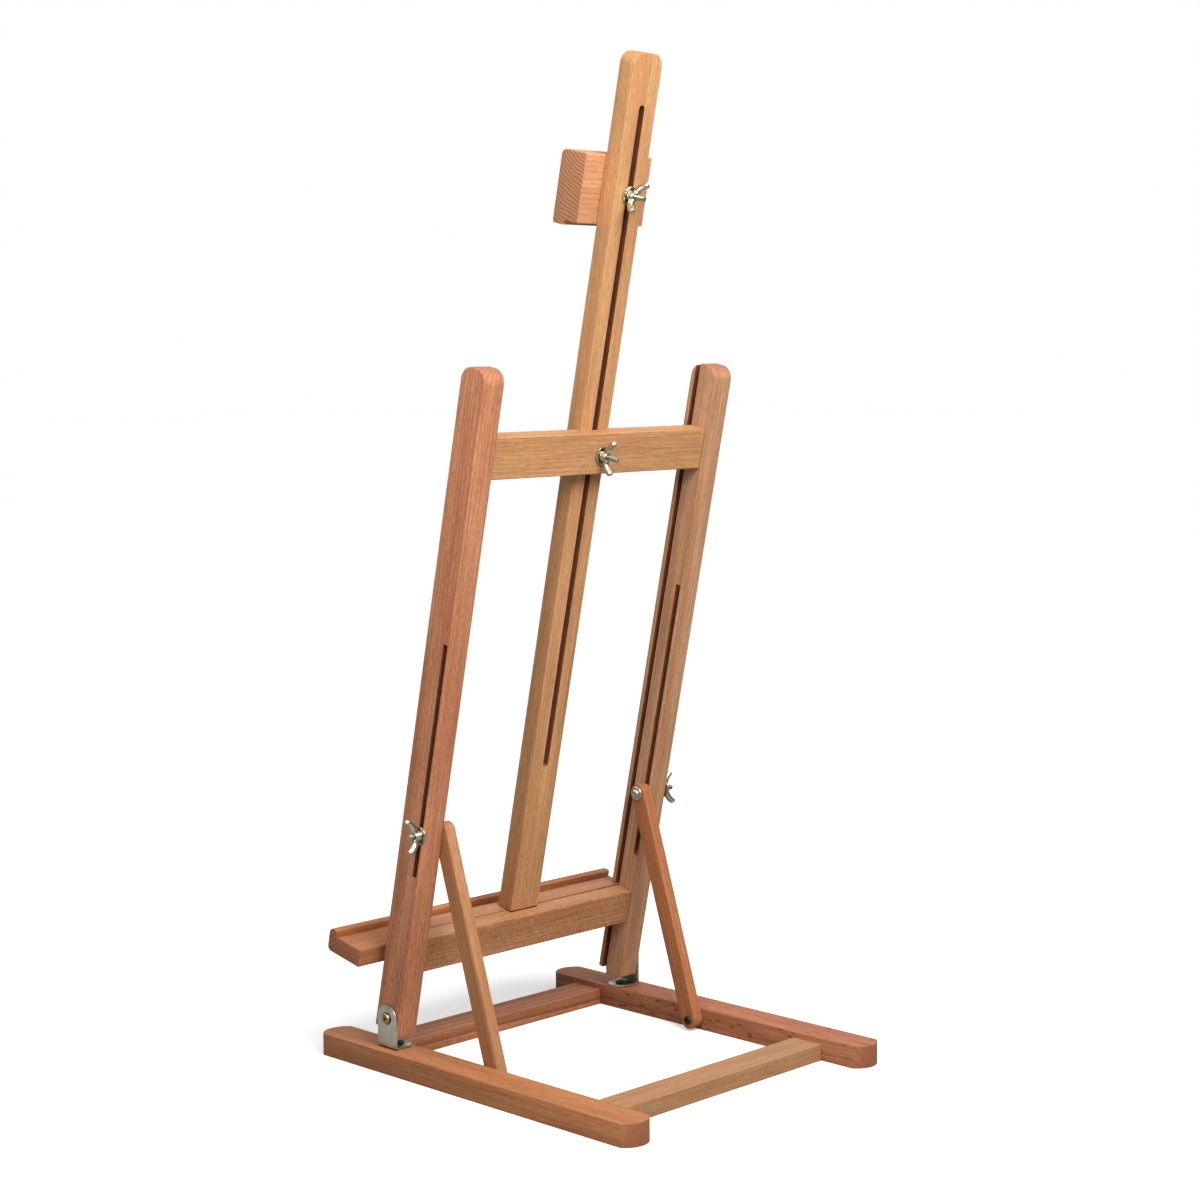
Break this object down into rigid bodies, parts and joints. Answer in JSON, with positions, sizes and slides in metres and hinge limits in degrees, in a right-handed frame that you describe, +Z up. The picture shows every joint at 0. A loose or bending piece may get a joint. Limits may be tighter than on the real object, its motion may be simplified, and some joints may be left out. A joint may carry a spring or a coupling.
{
  "type": "wooden artist easel",
  "caption": "Table-top wooden artist easel with a tilting H-frame, a sliding mast with canvas tray and top clamp, and folding struts on a flat base.",
  "frame": {"origin": "on the table under the middle of the base", "axes": "+Z up, -Y towards the painter (the side with tray and canvas), +X on the painter's right"},
  "size_m": [0.369, 0.419, 0.9442],
  "materials": {
    "reddish_beech": "oiled, satin, fine ray flecks",
    "pale_beech": "oiled, satin, ray flecks",
    "golden_beech": "oiled, satin",
    "zinc_plated_steel": "pale yellow zinc plating, satin"
  },
  "bodies": {
    "base": {"base_cross_rail_front": "pale_beech", "base_cross_rail_rear": "pale_beech", "base_dowel_front_left": "golden_beech", "base_dowel_front_right": "golden_beech", "base_dowel_rear_left": "golden_beech", "base_dowel_rear_right": "golden_beech", "base_side_rail_left": "reddish_beech", "base_side_rail_right": "reddish_beech", "hinge_bracket_left": "zinc_plated_steel", "hinge_bracket_right": "zinc_plated_steel", "hinge_bracket_screw_left": "zinc_plated_steel", "hinge_bracket_screw_right": "zinc_plated_steel"},
    "frame": {"upright_left": "reddish_beech", "upright_right": "reddish_beech", "lower_rail": "pale_beech", "crossbar": "pale_beech", "frame_pivot_screw_left": "zinc_plated_steel", "frame_pivot_screw_right": "zinc_plated_steel", "lower_rail_dowel_left": "golden_beech", "lower_rail_dowel_right": "golden_beech", "crossbar_dowel_left": "golden_beech", "crossbar_dowel_right": "golden_beech", "crossbar_bolt": "zinc_plated_steel", "crossbar_washer": "zinc_plated_steel"},
    "crossbar_nut": {"crossbar_wing_nut": "zinc_plated_steel"},
    "mast_and_tray": {"mast": "golden_beech", "tray_carrier": "reddish_beech", "tray": "reddish_beech", "mast_foot_screw": "zinc_plated_steel", "tray_screw_left": "zinc_plated_steel", "tray_screw_right": "zinc_plated_steel"},
    "clamp": {"clamp_block": "golden_beech", "clamp_bolt": "zinc_plated_steel", "clamp_washer": "zinc_plated_steel"},
    "clamp_nut": {"clamp_wing_nut": "zinc_plated_steel"},
    "bolt_left": {"strut_bolt_left": "zinc_plated_steel", "strut_washer_left": "zinc_plated_steel"},
    "strut_left_arm": {"strut_left": "reddish_beech", "strut_pivot_screw_left": "zinc_plated_steel"},
    "bolt_nut_left": {"strut_wing_nut_left": "zinc_plated_steel"},
    "bolt_right": {"strut_bolt_right": "zinc_plated_steel", "strut_washer_right": "zinc_plated_steel"},
    "strut_right_arm": {"strut_right": "reddish_beech", "strut_pivot_screw_right": "zinc_plated_steel"},
    "bolt_nut_right": {"strut_wing_nut_right": "zinc_plated_steel"}
  },
  "joints": [
    {"name": "frame_tilt", "type": "hinge", "parent": "base", "child": "frame", "pos_m": [0, -0.1164, 0.05], "axis": [-1, 0, 0], "range_deg": [-12.24, 77.76]},
    {"name": "mast_slide", "type": "slide", "parent": "frame", "child": "mast_and_tray", "axis": [0, 0.212, 0.9773], "range_m": [-0.055, 0.3]},
    {"name": "clamp_slide", "type": "slide", "parent": "mast_and_tray", "child": "clamp", "axis": [0, 0.212, 0.9773], "range_m": [-0.135, 0.075]},
    {"name": "crossbar_nut_turn", "type": "hinge", "parent": "frame", "child": "crossbar_nut", "pos_m": [0, 0.01371, 0.5771], "axis": [0, 0.9773, -0.212], "continuous": true},
    {"name": "clamp_nut_turn", "type": "hinge", "parent": "clamp", "child": "clamp_nut", "pos_m": [0, 0.05091, 0.81461], "axis": [0, 0.9773, -0.212], "continuous": true},
    {"name": "bolt_slide_left", "type": "slide", "parent": "frame", "child": "bolt_left", "axis": [0, 0.212, 0.9773], "range_m": [-0.026, 0.16]},
    {"name": "strut_swing_left", "type": "hinge", "parent": "bolt_left", "child": "strut_left_arm", "pos_m": [-0.1326, -0.06742, 0.23144], "axis": [-1, 0, 0], "range_deg": [-3.6, 22.3]},
    {"name": "bolt_nut_turn_left", "type": "hinge", "parent": "bolt_left", "child": "bolt_nut_left", "pos_m": [-0.168, -0.06742, 0.23144], "axis": [-1, 0, 0], "continuous": true},
    {"name": "bolt_slide_right", "type": "slide", "parent": "frame", "child": "bolt_right", "axis": [0, 0.212, 0.9773], "range_m": [-0.026, 0.16]},
    {"name": "strut_swing_right", "type": "hinge", "parent": "bolt_right", "child": "strut_right_arm", "pos_m": [0.1326, -0.06742, 0.23144], "axis": [-1, 0, 0], "range_deg": [-3.6, 22.3]},
    {"name": "bolt_nut_turn_right", "type": "hinge", "parent": "bolt_right", "child": "bolt_nut_right", "pos_m": [0.168, -0.06742, 0.23144], "axis": [1, 0, 0], "continuous": true}
  ],
  "couplings": [
    {"joint": "bolt_slide_left", "follows": "frame_tilt", "m_per_rad": 0.11686},
    {"joint": "strut_swing_left", "follows": "frame_tilt", "ratio": 0.28439},
    {"joint": "bolt_slide_right", "follows": "frame_tilt", "m_per_rad": 0.11686},
    {"joint": "strut_swing_right", "follows": "frame_tilt", "ratio": 0.28439}
  ]
}
